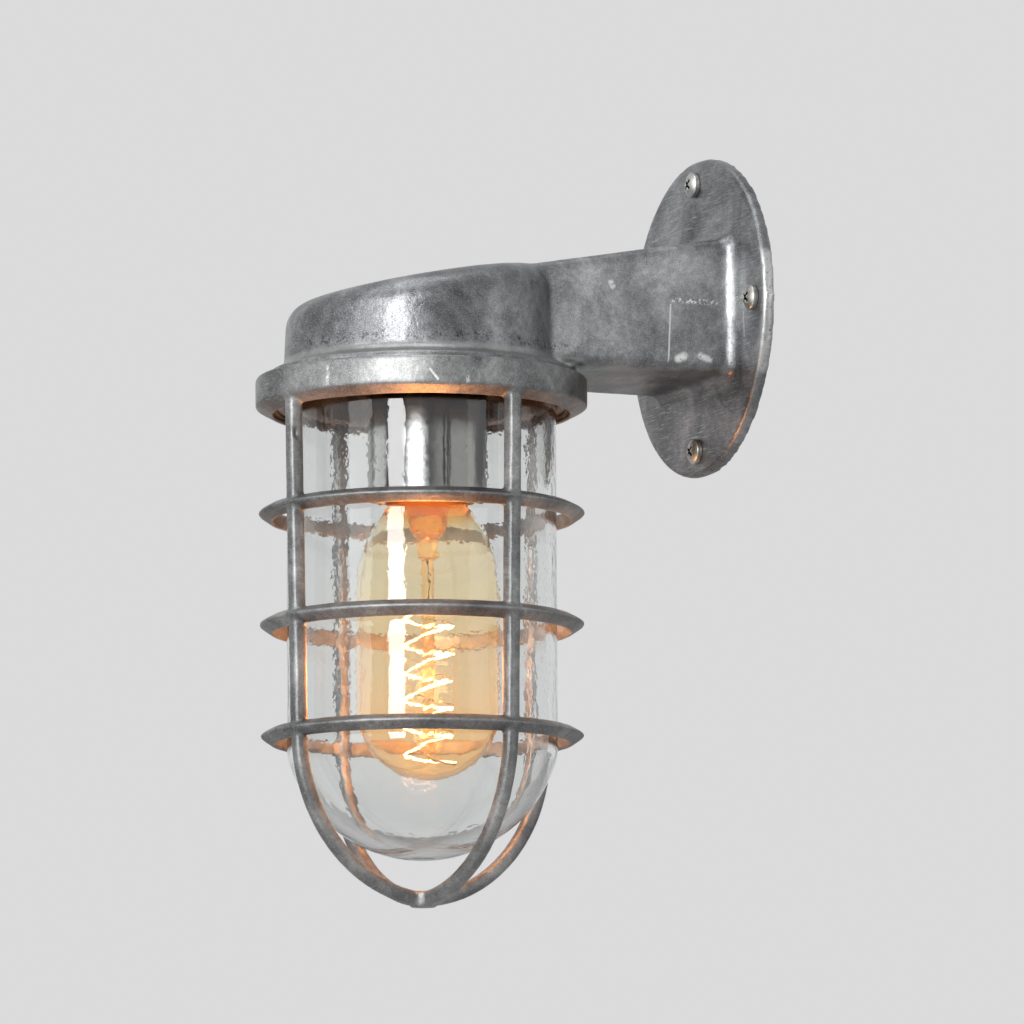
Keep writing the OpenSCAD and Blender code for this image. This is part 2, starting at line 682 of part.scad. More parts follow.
// The lamp's inner glass mount: a flare in the neck that turns in to a pinch, and the long rod
pinch_z = cap_low_z - mount_h;
pinch_r = 3.3;
rod_low_z = lamp_low_z + 7.7;
rod_r = 2;
module lamp_mount() color("#e0a850", 0.6) at_holder() {
    turn_z = pinch_z + 6.4;
    rotate_extrude() polygon([
        [0, pinch_z], [pinch_r - 0.5, pinch_z], [pinch_r, pinch_z + 0.5], [pinch_r, turn_z],
        [4.8, turn_z + 1], [5.5, turn_z + 2.6], [7, cap_low_z],
        [neck_out_r - lamp_wall - 0.1, cap_low_z + 2], [0, cap_low_z + 2]]);
    translate([0, 0, rod_low_z]) cylinder(r = rod_r, h = pinch_z - rod_low_z + 0.5);
}

// The filament winds round the rod in a spiral with four corners in a turn, each over a hook. Most
// of the rise is in the two stretches next to its fourth corner, and it ends there, one side short
// of a whole turn.
fil_low_z = lamp_low_z + 5.5;
fil_first = 66.8;
fil_share = [0, 0.1, 0.25, 0.65];
last_corner = 4 * fil_turns - 1;
function fil_corner(i) = let (a = fil_first + 90 * i)
    [fil_r * cos(a), fil_r * sin(a), fil_low_z + fil_pitch * (floor(i / 4) + fil_share[i % 4])];
function fil_path() = [for (i = [0:last_corner]) each (
    i == 0 || i == last_corner ? [fil_corner(i)] :
    let (c = fil_corner(i), a = unit(fil_corner(i - 1) - c), b = unit(fil_corner(i + 1) - c))
        [c + 1.5 * a, c + 0.45 * (a + b), c + 1.5 * b])];

module filament() color("#ffd58a") at_holder() swept_tube(fil_path(), filament_d, 6);

// Two lead wires from the pinch: one to the spiral's top end, and one down the far side of the rod
// to its lowest end
lead_d = 0.6;
module lead_wires() color("#8a8a88") at_holder() {
    off = (filament_d + lead_d) / 2 + 0.05;
    high = fil_corner(last_corner) + [0, 0, off];
    low = fil_corner(0) - [0, 0, off];
    near = [cos(fil_first - 90), sin(fil_first - 90), 0];
    far = [cos(fil_first + 110), sin(fil_first + 110), 0];
    beside = rod_r + lead_d / 2 + 0.35;
    foot = far * beside + [0, 0, rod_low_z - 2.2];
    swept_tube(bezier(near * beside + [0, 0, pinch_z - 0.2], near * 3.6 + [0, 0, pinch_z - 8],
        high + [0.6, 1.4, 8], high, 12), lead_d, 6);
    swept_tube(concat([far * beside + [0, 0, pinch_z - 0.2]],
        bezier(foot + [0, 0, 3], foot + [0, 0, 0.5], foot * 0.2 + low * 0.8 - [far[0], far[1], 0] * 3,
            low, 10)), lead_d, 6);
}

// Small hooks from the rod that reach over the spiral's corners
module filament_supports() color("#8a8a88") at_holder()
    for (i = [1:last_corner - 1]) {
        c = fil_corner(i);
        d = [c[0], c[1], 0] / fil_r;
        swept_tube([d * (rod_r + 0.04) + [0, 0, c[2] + 1.6], d * (fil_r * 0.5) + [0, 0, c[2] + 1.9],
            d * (fil_r - 0.2) + [0, 0, c[2] + filament_d / 2 + 0.5]], 0.4, 5);
    }

housing();
wall_screws();
terminal_block();
terminal_sleeves();
terminal_screws();
terminal_fixing_screw();
earth_screw();
earth_lug();
earth_wire();
live_wire();
neutral_wire();
holder_strap();
strap_screws();
holder_stem();
stem_nut();
holder_sleeve();
holder_body();
screw_shell();
centre_contact();
jar_gasket();
glass_jar();
guard_gasket();
guard_cage();
lamp_glass();
lamp_cap();
cap_insulator();
foot_contact();
lamp_mount();
lead_wires();
filament_supports();
filament();
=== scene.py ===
"""Looks of a cage wall light: raw tumbled aluminium castings, a clear glass jar and an amber lamp.

Blender's own lengths are in metres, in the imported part's frame: the wall is the plane y = 0, the
light stands out along -Y, and +Z is up. Numbers that describe the light itself are in mm.
"""
import math

import bpy
from mathutils import Matrix, Vector


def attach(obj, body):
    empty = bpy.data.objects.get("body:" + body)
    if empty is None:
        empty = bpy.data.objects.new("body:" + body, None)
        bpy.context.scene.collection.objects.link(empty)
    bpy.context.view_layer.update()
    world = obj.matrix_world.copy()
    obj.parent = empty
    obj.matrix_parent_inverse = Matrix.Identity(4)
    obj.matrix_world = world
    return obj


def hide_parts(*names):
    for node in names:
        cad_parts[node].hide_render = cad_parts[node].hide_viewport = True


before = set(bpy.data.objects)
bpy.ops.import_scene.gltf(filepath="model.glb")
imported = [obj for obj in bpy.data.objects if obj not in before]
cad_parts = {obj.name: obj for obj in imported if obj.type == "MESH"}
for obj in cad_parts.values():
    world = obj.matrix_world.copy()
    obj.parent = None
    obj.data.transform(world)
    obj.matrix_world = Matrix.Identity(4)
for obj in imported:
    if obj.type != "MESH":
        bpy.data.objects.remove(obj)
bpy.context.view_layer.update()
MM = 0.001
SAME_PLACE = 1e-6              # metres; points closer than this count as one
JAR_Y = -99.0                  # the jar's, the hood's and the guard's axis
HOLDER_Y = -97.0               # the lampholder's and the lamp's axis
HOOD_EDGE = 50, 53             # how far from its axis the hood's own marks fade out
SLEEVE_R = 18.8
SLEEVE_SHADED = -46, -33         # heights over which painted shade darkens the sleeve towards its closed top
WAVES_FADE = -160, -125        # heights over which the jar's waves come in, from the bottom up
SCREW_CIRCLE_R = 43.0
RECESS_R = 2.0, 2.3            # a wall screw's recess ends at this distance from the screw's axis
RECESS_Y = -6.85, -6.6         # and its painted shade starts at this depth, behind the head's outer face
SWELL_MM = 9                   # size of the unevenness of a cast skin
SMOOTH_UNDER = 60              # degrees; sharper edges than this stay sharp
GLASS_IOR = 1.5
RIGHT = Vector((0.3944, 0.9189, 0))    # the photograph's right, seen from above


# ---- working on pieces ----

def pick(piece):
    bpy.ops.object.select_all(action="DESELECT")
    piece.select_set(True)
    bpy.context.view_layer.objects.active = piece


def settle(piece):
    """Put the piece's place, turn and scale into its mesh, and leave its object at the origin."""
    pick(piece)
    bpy.ops.object.transform_apply(location=True, rotation=True, scale=True)


def edit(piece, action):
    """Open the piece for work on its vertices, with all of them selected or deselected."""
    pick(piece)
    bpy.ops.object.mode_set(mode="EDIT")
    bpy.ops.mesh.select_mode(type="VERT")
    bpy.ops.mesh.select_all(action=action)


def done():
    bpy.ops.object.mode_set(mode="OBJECT")


def modify(piece, kind, **values):
    """Add one modifier with its values and apply it."""
    pick(piece)
    m = piece.modifiers.new(kind.lower(), kind)
    for name, value in values.items():
        setattr(m, name, value)
    bpy.ops.object.modifier_apply(modifier=m.name)


def clouds(name, size_mm):
    """A soft random height field, for the unevenness of cast metal."""
    t = bpy.data.textures.new(name, "CLOUDS")
    t.noise_scale = size_mm * MM
    t.noise_depth = 1
    return t


def merge(piece):
    """Join the vertices that share a place."""
    edit(piece, "SELECT")
    bpy.ops.mesh.remove_doubles(threshold=SAME_PLACE)
    done()


def outwards(piece):
    """Turn every face to look out of the piece."""
    edit(piece, "SELECT")
    bpy.ops.mesh.normals_make_consistent(inside=False)
    done()


def wear(piece, finish, body, node):
    """Give a finished piece its one material and its body, and hide the CAD node it stands for."""
    piece.data.materials.clear()
    piece.data.materials.append(finish)
    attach(piece, body)
    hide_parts(node)


def copy_of(node, name):
    """A copy of the CAD node's shape, at the origin and with its vertices joined."""
    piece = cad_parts[node].copy()
    piece.data = piece.data.copy()
    piece.name = piece.data.name = name
    bpy.context.scene.collection.objects.link(piece)
    piece.parent = None
    piece.matrix_world = Matrix()
    merge(piece)
    return piece


def cast_skin(node, name, grid_mm, rounds, ripple_mm):
    """The node's own shape on a fine grid, with its corners and crossings softened in some rounds,
    as sand and tumbling leave a casting and plating a screw, and a slight unevenness all over."""
    piece = copy_of(node, name)
    modify(piece, "REMESH", mode="VOXEL", voxel_size=grid_mm * MM)
    modify(piece, "SMOOTH", factor=0.5, iterations=rounds)
    modify(piece, "DISPLACE", texture=clouds(name + "_swell", SWELL_MM), strength=ripple_mm * MM,
           texture_coords="LOCAL", mid_level=0.5)
    pick(piece)
    bpy.ops.object.shade_smooth()
    return piece


def turned(name, start, steps, y, segments):
    """A round hollow form drawn up ring by ring about the upright axis at y, as on a lathe.

    start is the lowest ring, (radius, height) in mm, and steps are the next rings. The form is left
    open at its first and its last ring."""
    bpy.ops.mesh.primitive_circle_add(vertices=segments, radius=start[0] * MM, fill_type="NOTHING",
                                      location=(0, y * MM, start[1] * MM))
    piece = bpy.context.object
    piece.name = piece.data.name = name
    settle(piece)
    edit(piece, "SELECT")
    r, z = start
    for next_r, next_z in steps:
        bpy.ops.mesh.extrude_region_move(
            TRANSFORM_OT_translate={"value": (0, 0, (next_z - z) * MM)})
        k = next_r / r
        bpy.ops.transform.resize(value=(k, k, 1), center_override=(0, y * MM, next_z * MM))
        r, z = next_r, next_z
    done()
    return piece


def arc_ring(centre_r, centre_z, radius, degrees):
    """The ring at so many degrees above the horizontal on an arc of the profile."""
    a = math.radians(degrees)
    return centre_r + radius * math.cos(a), centre_z + radius * math.sin(a)


def arc_steps(centre_r, centre_z, radius, start, end, count):
    """Ring steps along an arc of the profile, from start to end degrees above the horizontal."""
    return [arc_ring(centre_r, centre_z, radius, start + (end - start) * i / count)
            for i in range(1, count + 1)]


def straight_steps(radius, low, high, count):
    """Ring steps up a straight wall, from the low height to the high one."""
    return [(radius, low + (high - low) * i / count) for i in range(1, count + 1)]


def glass_wall(piece, low_z, wall_mm):
    """Close the lowest ring with a fan of faces, and give the form its wall, on its inside."""
    edit(piece, "DESELECT")
    done()
    for v in piece.data.vertices:
        v.select = abs(v.co.z - low_z * MM) < SAME_PLACE
    bpy.ops.object.mode_set(mode="EDIT")
    bpy.ops.mesh.edge_face_add()
    bpy.ops.mesh.poke()
    done()
    outwards(piece)
    modify(piece, "SOLIDIFY", thickness=wall_mm * MM, offset=-1, use_even_offset=True)
    pick(piece)
    bpy.ops.object.shade_smooth_by_angle(angle=math.radians(SMOOTH_UNDER))


# ---- materials ----

def linear(hex_colour):
    """An sRGB hex colour as linear red, green, blue and alpha."""
    parts = [int(hex_colour[i:i + 2], 16) / 255 for i in (0, 2, 4)]
    return [c / 12.92 if c <= 0.04045 else ((c + 0.055) / 1.055) ** 2.4 for c in parts] + [1]


def add(tree, kind, settings=None, **links):
    """Add one node. settings are its own values; links are its inputs, each a value or a socket.

    An input goes by its name, with _ for a space, or by i and its number."""
    n = tree.nodes.new(kind)
    for name, value in (settings or {}).items():
        setattr(n, name, value)
    for name, value in links.items():
        key = int(name[1:]) if name[1:].isdigit() and name[0] == "i" else name.replace("_", " ")
        socket = n.inputs[key]
        if isinstance(value, bpy.types.NodeSocket):
            tree.links.new(value, socket)
        else:
            socket.default_value = value
    return n


def material(name):
    """A new material with an empty node tree."""
    m = bpy.data.materials.new(name)
    m.use_nodes = True
    m.node_tree.nodes.clear()
    return m, m.node_tree


def place(tree):
    """Where a point lies on its piece, in the part's frame, since every piece is at the origin."""
    return add(tree, "ShaderNodeTexCoord").outputs["Object"]


def height_of(tree, where):
    return add(tree, "ShaderNodeSeparateXYZ", Vector=where).outputs["Z"]


def ramp(tree, fac, stops):
    """A colour ramp through (place, hex colour or grey level) stops."""
    n = add(tree, "ShaderNodeValToRGB", Fac=fac)
    while len(n.color_ramp.elements) < len(stops):
        n.color_ramp.elements.new(0.5)
    for e, (at, colour) in zip(n.color_ramp.elements, stops):
        e.position = at
        e.color = linear(colour) if isinstance(colour, str) else (colour, colour, colour, 1)
    return n.outputs["Color"]


def blend(tree, fac, a, b, kind="MIX"):
    """Colour b laid over colour a by a factor. Each colour is a hex colour or a socket."""
    a, b = (linear(c) if isinstance(c, str) else c for c in (a, b))
    n = add(tree, "ShaderNodeMix", {"data_type": "RGBA", "blend_type": kind}, i0=fac, i6=a, i7=b)
    return n.outputs[2]


def maths(tree, operation, a, b=0.0, c=0.0):
    n = add(tree, "ShaderNodeMath", {"operation": operation}, i0=a, i1=b, i2=c)
    return n.outputs[0]


def product(tree, first, *others):
    """Masks and strengths multiplied together."""
    for other in others:
        first = maths(tree, "MULTIPLY", first, other)
    return first


def vectors(tree, operation, a, b, out="Vector"):
    return add(tree, "ShaderNodeVectorMath", {"operation": operation}, i0=a, i1=b).outputs[out]


def over(tree, distance, low, high):
    """0 under the low level and 1 over the high one, both in mm."""
    return add(tree, "ShaderNodeMapRange", i0=distance, i1=low * MM, i2=high * MM).outputs[0]


def under(tree, distance, low, high):
    """1 under the low level and 0 over the high one, both in mm."""
    return maths(tree, "SUBTRACT", 1.0, over(tree, distance, low, high))


def off_axis(tree, where, y_mm):
    """Distance from the upright axis at y_mm, in metres."""
    flat = vectors(tree, "MULTIPLY", where, (1, 1, 0))
    return vectors(tree, "DISTANCE", flat, (0, y_mm * MM, 0), "Value")


def per_mm(size_mm):
    """A noise scale whose features are about size_mm across."""
    return 1 / (size_mm * MM)


def noise(tree, where, size_mm, detail, rough=0.5, distortion=0.0):
    """A cloudy pattern from 0 to 1 whose features are about size_mm across."""
    return add(tree, "ShaderNodeTexNoise", Vector=where, Scale=per_mm(size_mm), Detail=detail,
               Roughness=rough, Distortion=distortion).outputs["Fac"]


def stretched_noise(tree, where, sizes_mm, detail, turn=(0, 0, 0)):
    """A cloudy pattern of another size along X, Y and Z. The turn acts on the pattern after it has
    been stretched, so it changes which part of it is seen and not the stretch's direction."""
    m = add(tree, "ShaderNodeMapping", Vector=where, Rotation=turn,
            Scale=[per_mm(size) for size in sizes_mm])
    return add(tree, "ShaderNodeTexNoise", Vector=m.outputs[0], Scale=1.0,
               Detail=detail).outputs["Fac"]


def scratches(tree, where, turn, length_mm, width_mm, cut):
    """Fine marks along X: a noise stretched that way and cut off high."""
    n = stretched_noise(tree, where, (length_mm, width_mm, width_mm), 2.0, turn)
    return ramp(tree, n, [(cut, 0.0), (cut + 0.05, 1.0)])


def stroke(tree, where, start, end, width_mm, broken):
    """A mark along a straight line on the piece, start to end in mm, ragged where broken is over 0."""
    a, along = Vector(start) * MM, (Vector(end) - Vector(start)) * MM
    from_a = vectors(tree, "SUBTRACT", where, a)
    share = maths(tree, "DIVIDE", vectors(tree, "DOT_PRODUCT", from_a, along, "Value"),
                  along.length_squared)
    share = maths(tree, "MINIMUM", maths(tree, "MAXIMUM", share, 0.0), 1.0)
    scaled = add(tree, "ShaderNodeVectorMath", {"operation": "SCALE"}, i0=along, Scale=share)
    off = vectors(tree, "DISTANCE", from_a, scaled.outputs[0], "Value")
    mask = ramp(tree, maths(tree, "DIVIDE", off, width_mm * MM), [(0.35, 1.0), (1.0, 0.0)])
    if broken:
        gaps = noise(tree, where, 0.9, 3.0, 0.7)
        mask = product(tree, mask, ramp(tree, gaps, [(broken, 0.0), (broken + 0.07, 1.0)]))
    return mask


def relief(tree, height, strength, depth_mm, lower=None):
    """Bumps from a height pattern, laid over a lower relief where there is one."""
    links = {} if lower is None else {"Normal": lower}
    return add(tree, "ShaderNodeBump", Height=height, Strength=strength, Distance=depth_mm * MM,
               **links).outputs[0]


def opaque(tree, **values):
    """A principled surface, straight to the material's output."""
    shader = add(tree, "ShaderNodeBsdfPrincipled", **values)
    add(tree, "ShaderNodeOutputMaterial", Surface=shader.outputs[0])


def see_through(tree, **values):
    """A principled glass that lets lamp light pass, instead of the black shadow of a solid."""
    shader = add(tree, "ShaderNodeBsdfPrincipled", IOR=GLASS_IOR, Transmission_Weight=1.0, **values)
    rays = add(tree, "ShaderNodeLightPath")
    clear = add(tree, "ShaderNodeBsdfTransparent")
    both = add(tree, "ShaderNodeMixShader", i0=rays.outputs["Is Shadow Ray"],
               i1=shader.outputs[0], i2=clear.outputs[0])
    add(tree, "ShaderNodeOutputMaterial", Surface=both.outputs[0])


def cast_aluminium(name, greys, gloss, strokes, pitted=None, pale=None, inside=None):
    """Sand-cast aluminium, tumbled and left raw: a grey blotchy skin with dark pits, painted shade in
    its creases and hollows, brighter on worn edges, with fine scratches and a broad satin shine.

    greys are the skin's dark, middle and light grey, gloss is its lowest roughness, and strokes are
    bright marks like HOUSING_MARKS. The rest is for the hood: pitted and pale are the low and high
    level of a pitted band and of a band of painted light, and inside is the radius and levels of the
    painted shade in its hollow."""
    m, t = material(name)
    where = place(t)
    height = height_of(t, where)
    blotch = noise(t, where, 22, 6.0, 0.62, 0.4)
    grain = noise(t, where, 2.2, 4.0, 0.7)
    fine = noise(t, where, 0.45, 3.0, 0.8)
    colour = ramp(t, blotch, list(zip((0.33, 0.5, 0.68), greys)))
    colour = blend(t, 0.32, colour, ramp(t, grain, [(0.35, 0.12), (0.65, 0.7)]), "OVERLAY")
    colour = blend(t, 0.4, colour, ramp(t, fine, [(0.35, 0.2), (0.65, 0.6)]), "OVERLAY")
    rubs = maths(t, "MAXIMUM", scratches(t, where, (0.4, 0.9, 0.5), 8, 0.22, 0.62),
                 scratches(t, where, (-0.5, 0.5, -0.7), 6, 0.2, 0.63))
    cuts = scratches(t, where, (0.2, 0.7, 1.1), 7, 0.26, 0.6)
    colour = blend(t, product(t, rubs, 0.55), colour, "c3c4c4")
    colour = blend(t, product(t, cuts, 0.5), colour, "3d3d3c")
    edges = add(t, "ShaderNodeNewGeometry").outputs["Pointiness"]
    worn = ramp(t, edges, [(0.53, 0.0), (0.62, 1.0)])
    # Painted shade in creases and hollows, where pointiness is low, on the hood and on the guard
    hollow = ramp(t, edges, [(0.40, 1.0), (0.47, 0.0)])
    colour = blend(t, product(t, worn, 0.55), colour, "c9cbcc")
    colour = blend(t, product(t, hollow, 0.6), colour, "3a3936")
    by_hood = under(t, off_axis(t, where, JAR_Y), *HOOD_EDGE)
    if pitted:
        low, high = pitted
        off = maths(t, "ABSOLUTE", maths(t, "SUBTRACT", height, (low + high) / 2 * MM))
        band = ramp(t, maths(t, "DIVIDE", off, (high - low) / 2 * MM), [(0.3, 1.0), (1.0, 0.0)])
        pits = ramp(t, noise(t, where, 1.6, 5.0, 0.75), [(0.52, 0.0), (0.6, 1.0)])
        colour = blend(t, product(t, pits, band, by_hood, 0.75), colour, "2c2b29")
    # Bright marks on the skin; on the housing the last two are a painted highlight on the rim
    for start, end, width_mm, broken, strength in strokes:
        mark = product(t, stroke(t, where, start, end, width_mm, broken), strength)
        colour = blend(t, mark, colour, "d6d7d4")
    # Painted light: a paler band round the hood's cove
    if pale:
        low, high = pale
        bright = product(t, over(t, height, low, low + 0.5), under(t, height, high - 0.8, high),
                         by_hood, 0.35)
        colour = blend(t, bright, colour, "b4b5b1")
    # Painted shade inside the hood's hollow, brown-black over the grain
    if inside:
        radius, low, high = inside
        hollow_shade = product(t, under(t, off_axis(t, where, JAR_Y), radius - 0.6, radius + 0.6),
                         over(t, height, low - 1, low), under(t, height, high - 3, high))
        colour = blend(t, hollow_shade, colour, ramp(t, grain, [(0.35, "1a1714"), (0.7, "4c453f")]))
    rough = maths(t, "MULTIPLY_ADD", blotch, 0.22, gloss)
    rough = maths(t, "MULTIPLY_ADD", grain, 0.12, rough)
    opaque(t, Base_Color=colour, Metallic=0.88, Roughness=rough,
           Normal=relief(t, blotch, 0.5, 1.2, relief(t, grain, 0.35, 0.25)))
    return m


def recess_shade(tree, where):
    """1 inside the cross recess of each wall screw, where painted shade darkens it."""
    part = add(tree, "ShaderNodeSeparateXYZ", Vector=where).outputs
    off = []
    for a, b in (("X", "Z"), ("Z", "X")):
        out = maths(tree, "SUBTRACT", maths(tree, "ABSOLUTE", part[a]), SCREW_CIRCLE_R * MM)
        squares = maths(tree, "ADD", product(tree, out, out), product(tree, part[b], part[b]))
        off.append(maths(tree, "SQRT", squares))
    near = under(tree, maths(tree, "MINIMUM", *off), *RECESS_R)
    return product(tree, near, over(tree, part["Y"], *RECESS_Y))


def plain_metal(name, colour, rough, stain, painted_shade=None):
    """Plated or drawn metal: an even colour with fainter stains and a slight cloudiness in its
    shine. The last argument is a function that says where painted shade darkens it."""
    m, t = material(name)
    where = place(t)
    cloud = noise(t, where, 6, 5.0, 0.65)
    base = ramp(t, cloud, [(0.35, stain), (0.6, colour)])
    # Painted shade, near black, where the given function says
    if painted_shade:
        base = blend(t, painted_shade(t, where), base, "1d1b18")
    opaque(t, Base_Color=base, Metallic=1.0, Roughness=maths(t, "MULTIPLY_ADD", cloud, 0.12, rough),
           Normal=relief(t, cloud, 0.15, 0.1))
    return m


# Painted reflections as bright and dark bands, and the dark seam, from the sleeve's left edge, 0, to
# its right edge, 1
SLEEVE_REFLECTIONS = [
    (0.0, "6f6f6e"), (0.05, "7d7d7b"), (0.08, "f0f0ee"), (0.15, "dcdcda"), (0.18, "111110"),
    (0.3, "161615"), (0.35, "f6f6f5"), (0.46, "f6f6f5"), (0.52, "3c3c3b"), (0.6, "8f8f8d"),
    (0.7, "a3a29e"), (0.88, "a9a8a2"), (0.93, "2b2a29")]
SLEEVE_SEAM = [
    (0.628, 0.0), (0.636, 1.0), (0.648, 1.0), (0.654, 0.0), (0.662, 0.0), (0.668, 1.0),
    (0.674, 1.0), (0.68, 0.0)]


def drawn_sleeve():
    """Polished nickel on a drawn sleeve: painted reflections run down it as bright and dark bands,
    beside a dark folded seam, with dried-on specks, and painted shade darkens it near its closed top."""
    m, t = material("polished_nickel_sleeve")
    where = place(t)
    wobble = noise(t, where, 2.5, 4.0, 0.7)
    across = vectors(t, "DOT_PRODUCT", vectors(t, "SUBTRACT", where, (0, HOLDER_Y * MM, 0)),
                     tuple(RIGHT / (SLEEVE_R * MM)), "Value")
    ragged = maths(t, "ADD", across, maths(t, "MULTIPLY_ADD", wobble, 0.16, -0.08))
    # Painted reflections of the lamps: bright and dark bands fixed to the camera's right
    painted_reflections = ramp(t, maths(t, "MULTIPLY_ADD", ragged, 0.5, 0.5), SLEEVE_REFLECTIONS)
    seam = ramp(t, maths(t, "MULTIPLY_ADD", across, 0.5, 0.5), SLEEVE_SEAM)
    specks = ramp(t, noise(t, where, 1.4, 3.0), [(0.66, 0.0), (0.7, 0.8)])
    # Painted shade, deep near the sleeve's closed top, where it goes into the hood
    shade = product(t, over(t, height_of(t, where), *SLEEVE_SHADED), 0.85)
    colour = blend(t, specks, painted_reflections, "6d6440")
    colour = blend(t, seam, colour, "121212")
    colour = blend(t, shade, colour, "2b2928")
    opaque(t, Base_Color=colour, Metallic=1.0,
           Roughness=maths(t, "MULTIPLY_ADD", wobble, 0.2, 0.06),
           Normal=relief(t, wobble, 0.1, 0.1))
    return m


def plain_solid(name, colour, darker, rough):
    """A moulded or fired solid: one colour, slightly clouded, with a fine tooth."""
    m, t = material(name)
    where = place(t)
    cloud = noise(t, where, 3, 4.0)
    fine = noise(t, where, 0.5, 3.0)
    opaque(t, Base_Color=ramp(t, cloud, [(0.3, darker), (0.7, colour)]),
           Roughness=maths(t, "MULTIPLY_ADD", fine, 0.1, rough), Normal=relief(t, fine, 0.2, 0.1))
    return m


def jar_glass():
    """Pressed soda-lime glass: clear, with flow lines and slight waves that fade near its bottom."""
    m, t = material("pressed_clear_glass")
    where = place(t)
    flow = stretched_noise(t, where, (9, 9, 22), 3.0)
    ripple = noise(t, where, 3.2, 2.0, 0.6)
    waves = maths(t, "MULTIPLY_ADD", over(t, height_of(t, where), *WAVES_FADE), 0.13, 0.03)
    see_through(t, Base_Color=linear("f4f6f5"), Roughness=0.01,
                Normal=relief(t, ripple, waves, 0.4, relief(t, flow, 0.12, 0.7)))
    return m


def lamp_glass(name, tints, haze, rough=0.0):
    """Amber-tinted lamp glass, thin and smooth. tints and haze are (height in mm, colour) from the
    top down: the coat is deeper at the neck and at the round end, and scatters some of the
    filament's light as a warm haze."""
    m, t = material(name)
    where = place(t)
    flow = noise(t, where, 25, 2.0)
    top, low = tints[0][0], tints[-1][0]
    up = over(t, height_of(t, where), low, top)
    tint, warm = (ramp(t, up, [((z - low) / (top - low), c) for z, c in stops[::-1]])
                  for stops in (tints, haze))
    see_through(t, Base_Color=tint, Roughness=rough, Emission_Color=warm, Emission_Strength=1.0,
                Normal=relief(t, flow, 0.05, 0.5))
    return m


def glowing_wire():
    """A carbon filament at a dull running heat: it gives its own yellow-white light."""
    m, t = material("glowing_filament")
    heat = noise(t, place(t), 14, 1.0)
    opaque(t, Base_Color=linear("ffcf8a"), Roughness=0.5, Emission_Strength=5.0,
           Emission_Color=ramp(t, heat, [(0.3, "ffd9a0"), (0.6, "fff1cf")]))
    return m


def paper_floor():
    """Matt paper: one pale grey with hardly any tooth."""
    m, t = material("pale_paper_floor")
    tooth = noise(t, place(t), 2, 3.0)
    opaque(t, Base_Color=ramp(t, tooth, [(0.3, "d9d9d9"), (0.7, "dddddd")]), Roughness=0.9)
    return m


# A mark is its start, its end, its width, how broken it is, and its strength. These are a scribed
# line, two lines of bright metal, three dabs, a run under a screw and a painted highlight on the rim.
HOUSING_MARKS = [
    ((28.5, -25.9, -1.3), (28.5, -26.9, -22), 0.4, 0.0, 0.6),
    ((28.5, -25.4, 0.3), (28.5, -10.1, 0.3), 1.1, 0.5, 0.9),
    ((21.5, -4.1, 1.8), (35, -4.1, 1.6), 1.0, 0.5, 0.8),
    ((28.5, -23.4, -18.4), (28.5, -21.4, -17.4), 1.7, 0.36, 0.8),
    ((28.5, -15.6, -17), (28.5, -12.6, -18), 1.4, 0.36, 0.8),
    ((28.5, -46.4, 4.6), (28.5, -45.8, 3.4), 1.3, 0.4, 0.7),
    ((35.6, -4.1, -3.3), (36.2, -4.1, -11), 0.5, 0.0, 0.4),
    # A painted highlight down the rim's right side, in two strokes
    ((49.3, -2, 13), (51, -2, 0), 2.6, 0.36, 0.55),
    ((51, -2, 0), (46, -2, -22), 3.0, 0.36, 0.45)]
# Three short marks on the guard's flange
GUARD_MARKS = [
    ((49, -116.4, -29.9), (49.8, -114.1, -33), 0.5, 0.0, 1.0),
    ((28.8, -142.3, -27.8), (28.8, -142.3, -33.4), 0.7, 0.46, 0.8),
    ((51.7, -104.9, -32.2), (51.7, -104.9, -33.4), 0.8, 0.4, 0.7)]
# The hood gets a band of painted light on its cove and painted shade inside its hollow
HOUSING = cast_aluminium("tumbled_cast_aluminium", ("595b5d", "7e8082", "aaacad"), 0.2,
                         HOUSING_MARKS, pitted=(-19.6, -15.2), pale=(-23.6, -19.4),
                         inside=(40.6, -37, -6))
GUARD = cast_aluminium("tumbled_guard_casting", ("5d5f60", "828383", "adaead"), 0.28, GUARD_MARKS)

# Bright zinc on steel: a cool pale grey, clouded where it has dulled
ZINC = plain_metal("zinc_plated_steel", "c4c5c2", 0.28, "8f8d84")
# The pan heads get painted shade in their cross recesses
PAN_HEAD = plain_metal("zinc_pan_head", "cfd0cd", 0.3, "9b9991", painted_shade=recess_shade)
BRIGHT = drawn_sleeve()
# Brass, drawn and bare: yellow, browner where it has tarnished. The cap is brass under thin nickel.
BRASS = plain_metal("drawn_brass", "c9a35a", 0.25, "9a7a40")
CAP = plain_metal("plated_lamp_cap", "c8b98c", 0.2, "8f7f55")
# Nickel wire, greyed by the lamp's heat, and a blob of tin solder, pale and soft in its shine
LEAD = plain_metal("drawn_lead_wire", "77736b", 0.35, "4c4a45")
SOLDER = plain_metal("tinned_contact", "b9bab8", 0.35, "8c8d8b")
# Moulded cream resin, glazed white ceramic, black glass poured in the cap, and black rubber
BLOCK = plain_solid("moulded_terminal_block", "e6e0d0", "d3ccb9", 0.45)
FIRED = plain_solid("fired_ceramic", "ece8dc", "dcd6c6", 0.3)
BLACK_GLASS = plain_solid("black_cap_glass", "17171a", "0e0e10", 0.12)
RUBBER = plain_solid("moulded_seal_rubber", "2a2a2a", "1c1c1c", 0.7)
